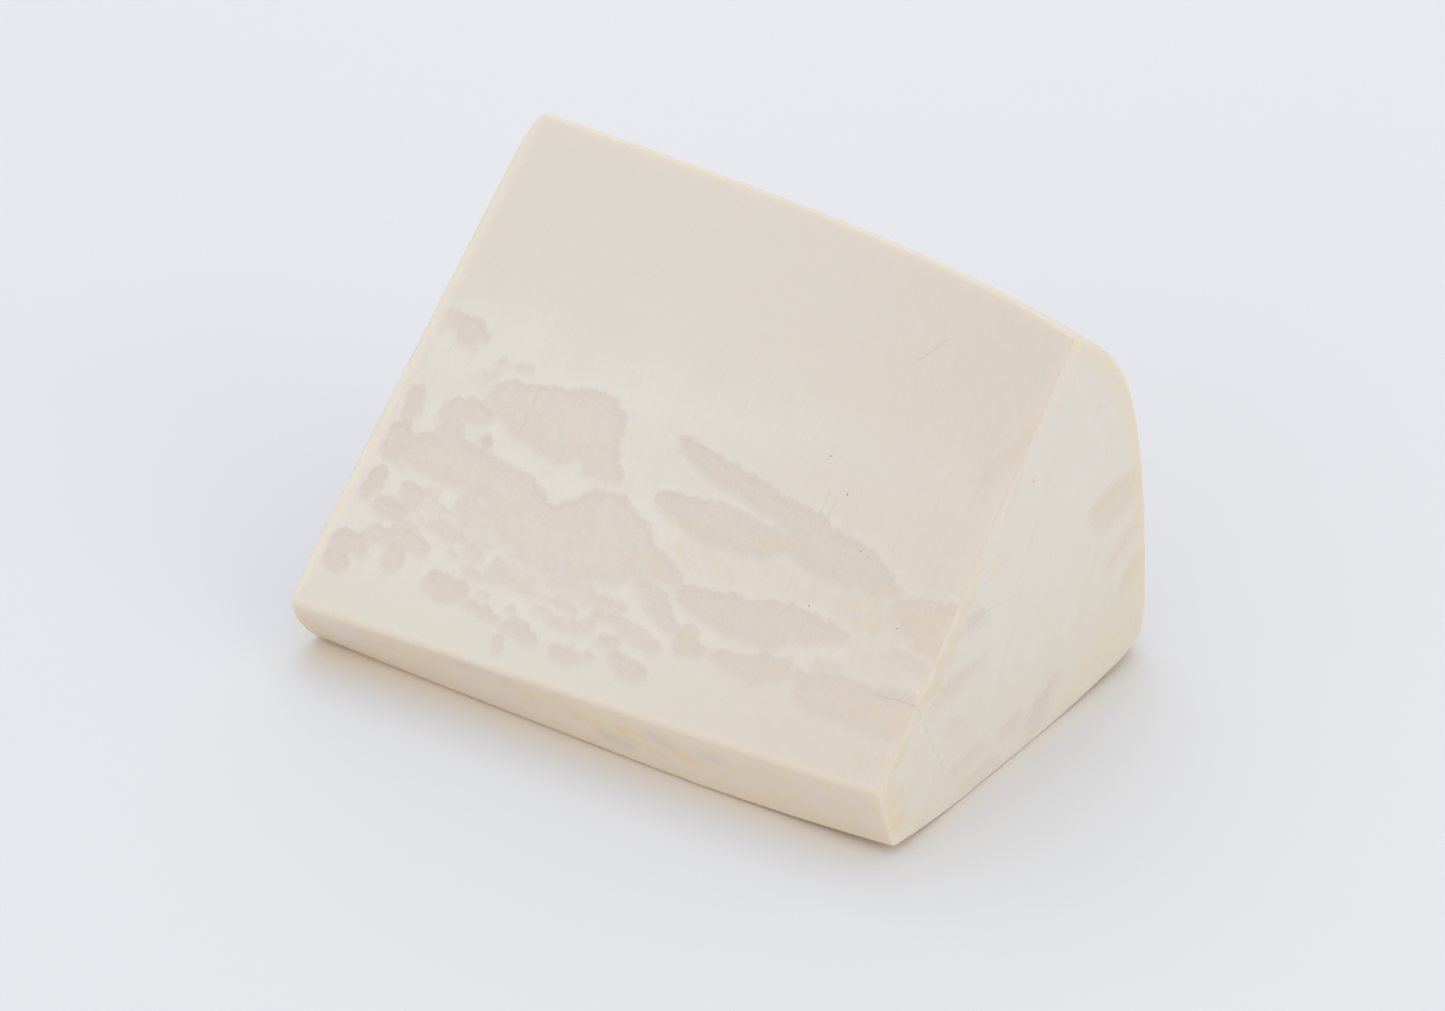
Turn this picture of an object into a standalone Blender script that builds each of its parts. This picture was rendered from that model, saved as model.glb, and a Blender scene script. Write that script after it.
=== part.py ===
"""A wedge of mammoth ivory, sawn from the outer part of a tusk, ground flat and polished.

Run it with: blender --background --python part.py

Units are metres. +X runs along the block's length, +Y from its thin front to its thick back, and +Z up.
The origin is the middle of the footprint's bounding box, on the surface that the block rests on.
The block is one solid. It is a loft of cross-sections that change along the length, because the tusk
tapered towards the right end and its outer surface curved in there.
"""

import math

import bmesh
import bpy
from mathutils import Matrix, Vector
from mathutils.geometry import interpolate_bezier

NAME = "ivory_block"

# Driving dimensions. Before centring, x is measured from the left end, and y from the base's front edge as
# it is at the right end.
LENGTH = 0.0721  # along the base
LEFT_END_LEAN = 0.071  # the left end leans in by this share of its height
SLOPE_ANGLE = math.radians(44.8)  # of the large ground face above the horizontal

# The narrow front strip stands over the base's front edge by its overhang.
STRIP_OVERHANG = 0.0028
STRIP_HEIGHT_LEFT = 0.0065
STRIP_HEIGHT_RIGHT = 0.0082

# Towards the left end the base's front edge is set further back under the strip.
BASE_SETBACK = 0.0018
SETBACK_END = 0.7  # the share of the length where it ends
SETBACK_POWER = 1.3

# Depths on the same measure at the left end, how much less they are at the right end because the
# tusk tapers, and the extra by which its outer surface curves in at that end.
APEX_DEPTH = 0.0377
APEX_TAPER = 0.0038
APEX_CURVE = 0.0024
BACK_DEPTH = 0.0507
BACK_TAPER = 0.0020
BACK_CURVE = 0.0010
CURVE_POWER = 4

# The tusk's outer surface in cross-section is one Bezier curve from the apex down to the base.
SHOULDER_RUN = 0.0076
SHOULDER_DROP = 0.0053
BACK_LEAN = 0.0013
SHOULDER_HEIGHT_SHARE = 0.84

# The base is flat in the middle, and ground up a little towards each of its four corners: how far up, and
# where that starts, as shares of half the length and of half the depth.
CORNER_LIFTS = {
    ("left", "front"): (0.0003, 0.60, 0.45),
    ("left", "back"): (0.0014, 0.25, 0.20),
    ("right", "front"): (0.0010, 0.30, 0.45),
    ("right", "back"): (0.0020, 0.25, 0.0),
}

# Corners that were rounded off by hand: share of the length, which corner of the section, how far the
# rounding reaches, and how deep it is at the corner.
SOFT_CORNERS = [
    (0.0, "strip_top", 0.011, 0.0005),
    (0.0, "base_front", 0.013, 0.0004),
    (0.0, "apex", 0.0045, 0.0007),
    (0.0, "base_back", 0.010, 0.0012),
    (1.0, "base_back", 0.006, 0.0006),
]

# Widths of the rounded edges.
STRIP_EDGE = 0.0014
APEX_EDGE = 0.0007
BASE_EDGE = 0.0006
LEFT_END_EDGE = 0.0008
RIGHT_END_EDGE = 0.00045
EDGE_SEGMENTS = 3

# How finely the loft is divided.
LENGTH_STEPS = 18
STRIP_STEPS = 3
SLOPE_STEPS = 13
BACK_STEPS = 16
BASE_STEPS = 12
CAP_SHARES = (0.84, 0.6, 0.3)  # sizes of the rings that fill an end face, as shares of its outline

# The corners of a section, as places in its ring of points.
STRIP_TOP = STRIP_STEPS
APEX = STRIP_TOP + SLOPE_STEPS
BASE_BACK = APEX + BACK_STEPS
CORNERS = {"base_front": 0, "strip_top": STRIP_TOP, "apex": APEX, "base_back": BASE_BACK}

IVORY_COLOUR = (0.73, 0.67, 0.60, 1.0)
IVORY_ROUGHNESS = 0.42


def clear_scene():
    for old in list(bpy.data.objects):
        bpy.data.objects.remove(old, do_unlink=True)


def between(start, end, steps):
    """Evenly spaced points from start on, without the end itself."""
    return [start.lerp(end, step / steps) for step in range(steps)]


def tapered(depth, taper, curve, share):
    """A depth of the tusk's surface at a share of the length."""
    return depth - taper * share - curve * share**CURVE_POWER


def eased(distance, start):
    """0 up to start, rising smoothly to 1 at distance 1 and beyond."""
    return min(1.0, max(0.0, distance - start) / (1.0 - start)) ** 2


def section(share):
    """The outline at a share of the length, as (y, z): up the strip and slope, down the back, along the base."""
    strip_height = STRIP_HEIGHT_LEFT + (STRIP_HEIGHT_RIGHT - STRIP_HEIGHT_LEFT) * share
    apex_depth = tapered(APEX_DEPTH, APEX_TAPER, APEX_CURVE, share)
    back_depth = tapered(BACK_DEPTH, BACK_TAPER, BACK_CURVE, share)
    apex_height = strip_height + math.tan(SLOPE_ANGLE) * (apex_depth + STRIP_OVERHANG)

    setback = BASE_SETBACK * max(0.0, 1.0 - share / SETBACK_END) ** SETBACK_POWER
    base_front = Vector((setback, 0.0))
    strip_top = Vector((-STRIP_OVERHANG, strip_height))
    apex = Vector((apex_depth, apex_height))
    shoulder = apex + Vector((SHOULDER_RUN, -SHOULDER_DROP))
    lower_back = Vector((back_depth - BACK_LEAN, apex_height * SHOULDER_HEIGHT_SHARE))
    base_back = Vector((back_depth, 0.0))

    back = interpolate_bezier(apex, shoulder, lower_back, base_back, BACK_STEPS + 1)[:-1]
    return (
        between(base_front, strip_top, STRIP_STEPS)
        + between(strip_top, apex, SLOPE_STEPS)
        + back
        + between(base_back, base_front, BASE_STEPS)
    )


def station(share):
    """The section's points in space. The left end leans, and the lean fades out towards the right end."""
    lean = LEFT_END_LEAN * (1.0 - share)
    return [Vector((LENGTH * share + lean * z, y, z)) for y, z in section(share)]


def cap_rings(outline):
    """Rings that shrink from an end's outline towards its centre, largest first."""
    centre = sum(outline, Vector()) / len(outline)
    return [[centre.lerp(point, size) for point in outline] for size in CAP_SHARES]


def soften_corners(points):
    """Draws each soft corner inwards, by less the further a point is from it."""
    block_centre = sum(points, Vector()) / len(points)
    corners = [
        (station(share)[CORNERS[corner]], reach, depth)
        for share, corner, reach, depth in SOFT_CORNERS
    ]
    for point in points:
        place = point.copy()
        for corner, reach, depth in corners:
            nearness = max(0.0, 1.0 - (place - corner).length / reach)
            inwards = Vector((block_centre.x - corner.x, 0.0, 0.0)).normalized()
            point += inwards * depth * nearness**2


def lift_base_corners(points):
    """Raises the base's outer corners off the surface that the block rests on."""
    highest = max(lift for lift, _, _ in CORNER_LIFTS.values())
    base = [point for point in points if point.z < highest]
    middle_x = LENGTH / 2
    middle_y = max(point.y for point in base) / 2
    for point in base:
        along = (point.x - middle_x) / middle_x
        across = (point.y - middle_y) / middle_y
        corner = ("left" if along < 0 else "right", "front" if across < 0 else "back")
        lift, start_along, start_across = CORNER_LIFTS[corner]
        closeness = eased(abs(along), start_along) * eased(abs(across), start_across)
        point.z = max(point.z, lift * closeness)


def centre_on_footprint(block):
    """Moves the finished block so that the origin is the middle of its footprint's bounding box."""
    bpy.context.view_layer.update()
    shaped = block.evaluated_get(bpy.context.evaluated_depsgraph_get())
    box = [Vector(corner) for corner in shaped.bound_box]
    middle = sum(box, Vector()) / len(box)
    lowest = min(corner.z for corner in box)
    block.data.transform(Matrix.Translation((-middle.x, -middle.y, -lowest)))


def loft(rings):
    """A closed mesh through the rings, each end filled to a point at its centre."""
    mesh = bmesh.new()
    rows = [[mesh.verts.new(point) for point in ring] for ring in rings]
    count = len(rows[0])
    for row, following in zip(rows, rows[1:]):
        for place in range(count):
            beside = (place + 1) % count
            mesh.faces.new((row[place], row[beside], following[beside], following[place]))
    ends = [mesh.faces.new(rows[0]), mesh.faces.new(rows[-1])]
    bmesh.ops.poke(mesh, faces=ends)
    bmesh.ops.recalc_face_normals(mesh, faces=mesh.faces)
    return mesh, rows


def weight_edges(mesh, rows, first, last):
    """Marks the edges that are rounded, each with its share of the widest rounding."""
    weights = mesh.edges.layers.float.new("bevel_weight_edge")
    lengthwise = [
        (0, BASE_EDGE),
        (STRIP_TOP, STRIP_EDGE),
        (APEX, APEX_EDGE),
        (BASE_BACK, BASE_EDGE),
    ]
    for place, width in lengthwise:
        for row, following in zip(rows[first:last], rows[first + 1 : last + 1]):
            mesh.edges.get((row[place], following[place]))[weights] = width / STRIP_EDGE
    for row, width in ((rows[first], LEFT_END_EDGE), (rows[last], RIGHT_END_EDGE)):
        for start, end in zip(row, row[1:] + row[:1]):
            mesh.edges.get((start, end))[weights] = width / STRIP_EDGE


def ivory_material():
    material = bpy.data.materials.new("ivory")
    material.use_nodes = True
    shader = material.node_tree.nodes["Principled BSDF"]
    shader.inputs["Base Color"].default_value = IVORY_COLOUR
    shader.inputs["Roughness"].default_value = IVORY_ROUGHNESS
    shader.inputs["Metallic"].default_value = 0.0
    material.diffuse_color = IVORY_COLOUR
    return material


def build_block(collection):
    stations = [station(step / LENGTH_STEPS) for step in range(LENGTH_STEPS + 1)]
    left_cap = cap_rings(stations[0])[::-1]
    right_cap = cap_rings(stations[-1])
    rings = left_cap + stations + right_cap
    points = [point for ring in rings for point in ring]
    soften_corners(points)
    lift_base_corners(points)

    mesh, rows = loft(rings)
    first = len(left_cap)
    weight_edges(mesh, rows, first, first + LENGTH_STEPS)
    data = bpy.data.meshes.new(NAME)
    mesh.to_mesh(data)
    mesh.free()

    block = bpy.data.objects.new(NAME, data)
    collection.objects.link(block)
    data.materials.append(ivory_material())
    data.shade_smooth()

    rounding = block.modifiers.new("rounded_edges", "BEVEL")
    rounding.limit_method = "WEIGHT"
    rounding.width = STRIP_EDGE
    rounding.segments = EDGE_SEGMENTS
    return block


def main():
    clear_scene()
    collection = bpy.data.collections.new("mammoth_ivory_piece")
    bpy.context.scene.collection.children.link(collection)
    centre_on_footprint(build_block(collection))


main()
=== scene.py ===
"""The mammoth ivory wedge as photographed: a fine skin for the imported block, a material, light and camera.

Lengths are in millimetres while the skin is worked out, and in metres once it is a mesh.
"""

import math

import bmesh
import bpy
import numpy as np
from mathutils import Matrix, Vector, noise
from mathutils.geometry import delaunay_2d_cdt, interpolate_bezier


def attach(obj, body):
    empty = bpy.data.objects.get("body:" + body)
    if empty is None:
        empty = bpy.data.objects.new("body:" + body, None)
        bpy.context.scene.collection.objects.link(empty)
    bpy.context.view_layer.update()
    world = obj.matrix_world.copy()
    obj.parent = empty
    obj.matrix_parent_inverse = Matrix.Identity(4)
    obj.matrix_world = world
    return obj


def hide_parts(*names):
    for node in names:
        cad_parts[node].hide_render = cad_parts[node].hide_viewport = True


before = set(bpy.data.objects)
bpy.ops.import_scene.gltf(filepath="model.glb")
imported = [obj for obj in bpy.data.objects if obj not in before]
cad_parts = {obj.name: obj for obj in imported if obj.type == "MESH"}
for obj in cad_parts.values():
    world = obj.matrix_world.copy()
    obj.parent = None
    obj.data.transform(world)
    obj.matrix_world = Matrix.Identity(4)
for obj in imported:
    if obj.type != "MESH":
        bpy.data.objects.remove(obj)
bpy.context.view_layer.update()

MM = 0.001

# The block's form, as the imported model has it. x runs from the left end, and y from the base's front edge
# as it is at the right end.
LENGTH = 72.1
CENTRE = np.array([36.074, 24.102, 0.0])
LEFT_END_LEAN = 0.071
SLOPE_ANGLE = math.radians(44.8)
STRIP_OVERHANG = 2.8
STRIP_HEIGHT_LEFT = 6.5
STRIP_HEIGHT_RIGHT = 8.2
BASE_SETBACK = 1.8
SETBACK_END = 0.7
SETBACK_POWER = 1.3
# The strip bulges near the left end: how far its curve's handles are moved out, and where the bulge ends.
STRIP_BULGE = 0.9
BULGE_END = 0.3
APEX_DEPTH = 37.7
APEX_TAPER = 3.8
APEX_CURVE = 2.4
BACK_DEPTH = 50.7
BACK_TAPER = 2.0
BACK_CURVE = 1.0
CURVE_POWER = 4
SHOULDER_RUN = 7.6
SHOULDER_DROP = 5.3
BACK_LEAN = 1.3
SHOULDER_HEIGHT_SHARE = 0.84

# How far from each long corner its rounding starts, at the left end and at the right end.
ROUNDINGS = {
    "base_front": (0.6, 0.45),
    "strip_top": (0.75, 0.6),
    "apex": (0.85, 0.75),
    "base_back": (1.2, 0.9),
}
CORNERS = tuple(ROUNDINGS)
CORNER_POINTS = 6

# Radius of the rounding round each end face, and its rings of points.
LEFT_END_ROUNDING = 0.8
RIGHT_END_ROUNDING = 0.42
END_RINGS = 6

# Points along the strip, slope, back and base of a section, and along the curves that give the back and
# the strip, stations between the rounded ends, and the distance between an end face's points.
SIDE_POINTS = (14, 140, 80, 76)
CURVE_POINTS = (200, 40)
STATIONS = 172
CAP_SPACING = 0.5

# Corners rounded off by hand: share of the length, corner of the section, reach and depth.
SOFT_CORNERS = [
    (0.0, "strip_top", 11.0, 0.5),
    (0.0, "base_front", 13.0, 0.4),
    (0.0, "apex", 5.0, 0.8),
    (0.0, "base_back", 10.0, 1.2),
    (1.0, "base_back", 6.0, 0.6),
]

# The base is ground up towards its corners: how far, and the shares of its half length and half depth
# where that starts. The sides follow it up to the lift's height.
CORNER_LIFTS = {
    ("left", "front"): (0.3, 0.60, 0.45),
    ("left", "back"): (1.4, 0.25, 0.20),
    ("right", "front"): (1.0, 0.30, 0.45),
    ("right", "back"): (2.0, 0.25, 0.0),
}
LIFT_HEIGHT = 14.0

# Hand grinding left the faces a little uneven, from some way above the base on, and polishing wore small
# dips into the ridge at the right end. The choice picks one of the noise's patterns.
WAVE_LENGTH = 13.0
WAVE_DEPTH = 0.06
WAVE_START = 3.0
WEAR_LENGTH = 1.7
WEAR_DEPTH = 0.16
WEAR_REACH = 0.9
WEAR_CHOICE = 3.0

# Marks on the faces. Each is drawn with strokes, and a stroke is a chain of discs: place and half width.
# On the slope a place is (x, v), v being the way up the slope from the strip. On the end it is (y, z).
# A patch's first two numbers are its share of orange and how dark it is. A tint's first is its strength.
SLOPE_PATCHES = [
    # high on the left
    (0.15, 0.85, [(-30.2, 32.9, 0.8), (-28.4, 32.5, 1.3), (-26.4, 31.9, 0.5)]),
    (0.15, 0.8, [(-29.2, 31.4, 0.5), (-27.2, 30.8, 0.35)]),
    (0.45, 0.4, [(-31.8, 33.2, 0.8), (-31.7, 32.2, 0.7)]),
    # the large one, with crumbs above it
    (0.35, 0.8, [
        (-21.0, 26.9, 1.8), (-17.5, 25.9, 2.9), (-12.5, 25.8, 3.9), (-9.8, 26.2, 3.2),
        (-7.9, 23.6, 2.1), (-5.4, 22.0, 0.8),
    ]),
    (0.3, 0.8, [(-13.2, 27.6, 2.1), (-9.7, 27.9, 2.0)]),
    (0.2, 0.6, [(-23.3, 30.0, 0.5), (-22.6, 29.9, 0.45)]),
    (0.1, 0.7, [(-20.9, 30.2, 0.5), (-19.9, 30.2, 0.5)]),
    (0.4, 0.5, [(-24.6, 28.3, 0.5), (-23.4, 28.4, 0.5)]),
    (0.05, 0.8, [(-27.0, 23.5, 1.0), (-26.0, 23.9, 1.4), (-24.0, 24.4, 1.1), (-22.5, 24.2, 0.8)]),
    (0.05, 0.7, [(-25.8, 22.6, 1.2), (-25.2, 21.0, 1.4)]),
    (0.0, 1.3, [(-21.3, 21.9, 0.45), (-20.6, 21.5, 0.4)]),
    # down the left edge
    (0.45, 0.85, [(-31.2, 24.4, 1.0), (-31.0, 22.6, 0.9)]),
    (0.6, 0.95, [(-31.2, 20.2, 1.1), (-31.5, 18.3, 1.0)]),
    (0.75, 1.0, [(-31.4, 15.2, 0.9), (-31.8, 13.2, 0.7)]),
    (0.0, 0.85, [(-30.0, 12.3, 0.7), (-28.6, 12.3, 1.0), (-27.1, 12.1, 0.9)]),
    (0.75, 1.0, [(-32.1, 7.5, 1.3), (-30.4, 7.7, 1.1), (-29.5, 7.2, 0.7)]),
    (0.75, 1.0, [(-32.2, 5.9, 1.1), (-30.9, 5.3, 0.8)]),
    # the long one that runs from the left edge to the middle
    (0.3, 0.8, [
        (-30.0, 18.0, 0.9), (-27.5, 18.9, 2.0), (-23.0, 18.8, 2.4), (-19.0, 18.4, 1.8),
        (-15.3, 17.2, 2.7), (-12.5, 14.7, 3.1), (-8.5, 13.6, 3.3),
    ]),
    (0.3, 0.8, [
        (-8.0, 14.4, 3.6), (-5.0, 16.4, 4.2), (-1.5, 15.5, 3.6), (2.0, 14.8, 1.6), (5.8, 14.0, 0.8),
    ]),
    (0.25, 0.75, [(-9.0, 12.5, 2.2), (-4.0, 12.9, 2.0), (-0.5, 13.2, 1.6)]),
    (0.2, 0.75, [(-14.4, 13.4, 0.9), (-12.3, 12.3, 1.0)]),
    (0.15, 0.62, [(-20.5, 14.8, 0.9), (-17.6, 13.9, 1.3), (-15.2, 12.9, 1.2), (-12.6, 12.0, 1.0)]),
    (0.2, 0.58, [(-12.0, 9.9, 0.6), (-9.5, 9.4, 0.8), (-6.5, 9.5, 0.8), (-3.0, 10.2, 0.7)]),
    (0.1, 0.5, [(-24.0, 14.0, 0.5), (-21.6, 13.4, 0.6), (-18.2, 12.4, 0.7), (-16.2, 11.4, 0.6)]),
    (0.3, 0.7, [(-20.2, 16.3, 0.7), (-19.6, 15.9, 0.5)]),
    # islands on the lower left
    (0.55, 0.75, [(-29.0, 9.3, 0.8), (-27.0, 9.4, 0.9), (-24.9, 10.0, 1.0), (-22.7, 9.3, 0.8)]),
    (0.6, 0.85, [(-25.7, 8.8, 1.0), (-25.3, 7.2, 1.2)]),
    (0.0, 0.65, [(-26.4, 11.0, 0.4), (-24.6, 10.9, 0.5)]),
    (0.2, 0.85, [(-27.3, 14.6, 0.9), (-26.1, 14.2, 1.0), (-25.9, 13.4, 0.8)]),
    (0.55, 0.7, [(-24.9, 15.1, 0.5), (-24.0, 15.0, 0.5)]),
    (0.0, 0.8, [(-22.5, 12.3, 0.7), (-20.8, 11.8, 0.9), (-19.1, 11.6, 0.7)]),
    (0.0, 0.6, [(-23.6, 13.4, 0.6), (-22.9, 13.3, 0.5)]),
    (0.1, 0.65, [(-20.6, 14.7, 0.9), (-19.2, 14.9, 0.9), (-20.2, 13.7, 0.6)]),
    (0.0, 0.55, [(-24.5, 12.2, 0.5), (-24.1, 11.8, 0.5)]),
    (0.35, 0.55, [(-19.3, 9.7, 0.4), (-18.8, 9.4, 0.35)]),
    (0.25, 0.65, [(-17.3, 10.9, 0.9), (-16.5, 10.3, 0.8)]),
    (0.0, 0.65, [(-16.4, 11.8, 0.6), (-15.7, 11.5, 0.5)]),
    (0.5, 0.95, [(-20.0, 6.4, 1.0), (-18.4, 6.1, 1.4), (-16.7, 6.3, 1.1)]),
    (0.15, 0.7, [(-16.9, 8.5, 0.45), (-15.4, 8.2, 0.45)]),
    (0.0, 0.6, [(-14.0, 6.6, 0.45), (-13.5, 6.5, 0.4)]),
    (0.5, 0.85, [(-14.7, 5.4, 0.5), (-13.0, 5.2, 0.65), (-11.6, 4.8, 0.4)]),
    (0.0, 0.65, [(-10.2, 6.1, 0.45), (-9.7, 5.8, 0.4)]),
    (0.45, 0.75, [(-13.7, 9.9, 1.0), (-13.6, 8.9, 0.8), (-12.0, 9.1, 0.8), (-11.0, 8.9, 0.6)]),
    (0.35, 0.7, [(-10.0, 8.5, 0.5), (-8.5, 8.2, 0.45)]),
    (0.1, 0.7, [(-6.9, 8.3, 0.35), (-4.9, 8.2, 0.5), (-3.2, 7.7, 0.45)]),
    (0.6, 0.6, [(-7.0, 7.0, 0.5), (-5.7, 6.8, 0.5)]),
    # islands along the bottom
    (0.15, 0.85, [(-9.7, 4.5, 0.6), (-7.9, 4.4, 0.9), (-6.3, 3.9, 0.7)]),
    (0.7, 0.7, [(-10.0, 2.8, 0.6), (-9.7, 2.0, 0.5)]),
    (0.45, 0.9, [(-3.4, 3.6, 0.6), (-1.6, 3.5, 0.8)]),
    (0.4, 0.7, [(0.0, 4.1, 0.5), (0.6, 4.0, 0.5)]),
    (0.45, 0.9, [(3.3, 4.8, 0.7), (4.8, 4.3, 1.1), (6.3, 3.9, 0.8)]),
    (0.15, 0.85, [(1.0, 6.1, 0.6), (2.4, 6.0, 0.7)]),
    (0.3, 0.8, [(-4.9, 6.3, 0.5), (-2.9, 6.5, 0.6), (-0.8, 7.0, 0.6)]),
    (0.1, 0.8, [(-1.0, 8.2, 0.4), (2.3, 8.2, 0.6), (4.8, 7.5, 1.0), (6.6, 6.9, 0.8)]),
    (1.2, 1.15, [(9.7, 9.4, 0.9), (9.6, 8.3, 1.0), (11.6, 8.0, 0.6)]),
    (0.2, 0.65, [(-4.9, 9.5, 0.5), (-2.0, 9.6, 0.7), (1.7, 9.5, 0.5)]),
    (0.05, 0.8, [(2.4, 12.4, 0.6), (4.8, 11.4, 1.1), (6.6, 10.0, 0.9), (8.1, 9.3, 0.6)]),
    # low on the right
    (0.05, 0.95, [
        (7.5, 12.9, 0.8), (9.5, 12.6, 1.4), (12.7, 12.3, 1.9), (16.0, 12.3, 2.1), (19.0, 12.7, 2.4),
        (22.2, 13.1, 1.5), (25.6, 13.4, 0.5),
    ]),
    (0.25, 0.9, [(13.3, 7.9, 0.5), (16.0, 7.8, 0.9), (18.6, 8.0, 1.5), (20.6, 8.7, 1.1)]),
    (0.35, 0.95, [(22.8, 8.5, 0.7), (25.2, 7.6, 2.0), (27.8, 7.8, 1.9), (30.8, 7.5, 2.0), (34.2, 7.8, 2.4)]),
    (0.05, 0.55, [(24.3, 10.1, 0.5), (26.2, 10.3, 0.6)]),
    # the bar, the leaf below it, and the one at the right edge
    (0.1, 1.0, [
        (0.7, 27.4, 0.7), (4.5, 25.9, 1.1), (9.0, 24.9, 1.2), (13.5, 23.6, 1.3), (17.5, 22.6, 1.9),
        (20.0, 21.0, 2.1), (24.0, 20.4, 2.2), (27.2, 19.5, 1.3), (28.8, 19.1, 0.5),
    ]),
    (0.1, 1.0, [(16.9, 20.3, 0.7), (19.5, 20.3, 1.5), (23.0, 20.0, 1.7)]),
    (0.25, 1.0, [
        (0.5, 21.4, 0.6), (3.0, 21.0, 1.2), (6.5, 20.7, 2.1), (11.0, 20.3, 1.9), (14.0, 20.2, 1.5),
        (16.0, 20.4, 0.8),
    ]),
    (0.95, 1.1, [(29.8, 17.9, 0.6), (32.0, 17.5, 1.7), (34.5, 17.0, 2.6), (36.0, 16.6, 2.5)]),
    (0.1, 0.6, [(31.2, 13.2, 0.4), (33.2, 13.1, 0.6), (35.2, 12.8, 0.5)]),
    # a brown smear by the right edge
    (0.9, 0.5, [(35.2, 37.6, 0.3), (34.4, 35.4, 0.5), (33.2, 33.4, 0.4), (32.6, 31.4, 0.2)]),
]
SLOPE_TINTS = [
    (0.8, [(-31.0, 17.2, 0.4), (-27.0, 16.9, 0.4), (-22.8, 16.3, 0.25)]),
    (0.7, [(26.6, 18.9, 0.8), (28.6, 19.0, 0.6)]),
    (0.8, [(3.5, 19.5, 0.4), (8.5, 18.2, 0.5)]),
    (0.9, [(13.2, 20.1, 0.35), (16.8, 20.2, 0.4)]),
    (0.6, [(3.5, 17.2, 0.5), (6.5, 16.2, 0.8), (9.5, 16.3, 1.0), (11.5, 15.6, 0.6)]),
    (0.55, [(-6.8, 16.7, 1.3), (-5.7, 14.8, 1.0)]),
    (0.6, [(-1.0, 15.2, 0.6), (1.5, 15.0, 0.8), (4.5, 14.7, 0.7)]),
    (0.75, [(24.3, 16.3, 1.0), (27.8, 16.1, 1.6)]),
    (0.5, [(32.0, 16.3, 1.2), (35.0, 15.6, 2.0)]),
    (0.5, [(14.6, 8.0, 0.3), (17.5, 8.3, 0.35), (20.8, 8.5, 0.35)]),
    (0.45, [(28.0, 6.8, 0.5), (31.5, 7.0, 0.9), (35.0, 7.3, 1.2)]),
    (0.6, [(32.6, 2.8, 0.7), (34.8, 3.3, 0.9)]),
    (0.4, [(14.3, 17.4, 0.9), (17.2, 17.8, 1.2)]),
    (0.4, [(35.0, 38.0, 0.8), (34.4, 36.2, 1.3), (33.0, 33.6, 1.1), (33.4, 30.5, 0.5)]),
    (0.35, [(4.5, 18.2, 1.2), (9.0, 17.4, 1.6), (15.5, 17.3, 1.8), (20.0, 16.9, 1.3)]),
    (0.5, [(9.4, 8.5, 0.8), (11.4, 8.2, 0.5)]),
]
SLOPE_PALES = [
    (0.6, [(6.1, 22.9, 0.35), (10.8, 22.5, 0.25), (15.1, 21.6, 0.2)]),
    (0.6, [(-8.4, 8.9, 0.15), (-6.2, 8.8, 0.2), (-4.4, 8.9, 0.15)]),
    (0.6, [(-5.6, 7.5, 0.15), (-3.4, 7.1, 0.2), (-1.6, 7.4, 0.15)]),
    (0.8, [(2.6, 9.4, 0.2), (4.4, 9.1, 0.2), (6.4, 8.1, 0.2)]),
    (0.7, [(1.0, 11.6, 0.2), (3.2, 10.8, 0.2)]),
    (0.7, [(-15.8, 12.7, 0.2), (-13.6, 11.3, 0.2), (-11.6, 10.5, 0.2), (-8.2, 10.3, 0.2)]),
    (0.6, [(-23.6, 12.7, 0.15), (-21.4, 13.0, 0.2), (-19.0, 12.7, 0.2), (-17.8, 12.2, 0.2)]),
    (0.8, [(-28.9, 21.9, 0.4), (-28.4, 24.0, 0.5)]),
    (0.7, [(-29.4, 16.9, 0.3), (-25.5, 16.1, 0.35), (-22.0, 15.1, 0.3)]),
    (0.6, [(-20.6, 23.2, 0.6), (-18.4, 21.8, 0.9), (-15.5, 20.6, 0.8), (-12.0, 19.6, 0.6)]),
    (0.7, [(-1.8, 20.6, 0.5), (1.8, 18.4, 0.35), (3.8, 17.4, 0.25)]),
    (0.6, [(8.6, 10.4, 0.25), (10.4, 10.3, 0.25), (11.9, 9.8, 0.2)]),
    (0.6, [(20.5, 10.8, 0.4), (23.0, 11.2, 0.5), (26.0, 11.8, 0.4)]),
]
END_PATCHES = [
    (0.8, 0.6, [(20.8, 20.3, 1.4), (17.5, 20.4, 1.8), (14.5, 20.4, 1.9), (12.2, 20.7, 1.2)]),
    (0.5, 0.8, [(21.8, 16.1, 0.8), (18.8, 14.8, 0.6), (15.8, 13.4, 0.4)]),
    (0.5, 0.7, [(22.3, 11.1, 0.9), (20.0, 10.8, 0.8), (18.3, 9.8, 0.7)]),
    (0.25, 1.0, [(-8.9, 19.4, 0.3), (-10.4, 19.5, 0.6), (-11.5, 19.5, 0.4)]),
    (0.0, 0.7, [(-17.4, 13.4, 0.9), (-15.3, 13.8, 0.9), (-12.0, 14.1, 0.6), (-8.5, 14.2, 0.4)]),
    (0.0, 0.55, [(-4.7, 4.2, 0.5), (-2.7, 3.9, 0.8), (-1.2, 4.1, 0.4)]),
    (0.0, 0.45, [(-14.5, 9.6, 0.6), (-12.6, 9.2, 0.6)]),
    (0.35, 0.9, [(5.2, 5.2, 0.6), (2.9, 3.6, 1.1), (1.0, 2.4, 1.2)]),
    (0.5, 0.5, [(-5.8, 1.3, 0.7), (-8.5, 1.3, 0.9), (-11.2, 1.5, 0.6)]),
    (0.1, 0.5, [(-8.6, 4.1, 0.5), (-11.2, 4.3, 0.7), (-13.4, 4.0, 0.6)]),
]
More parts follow.
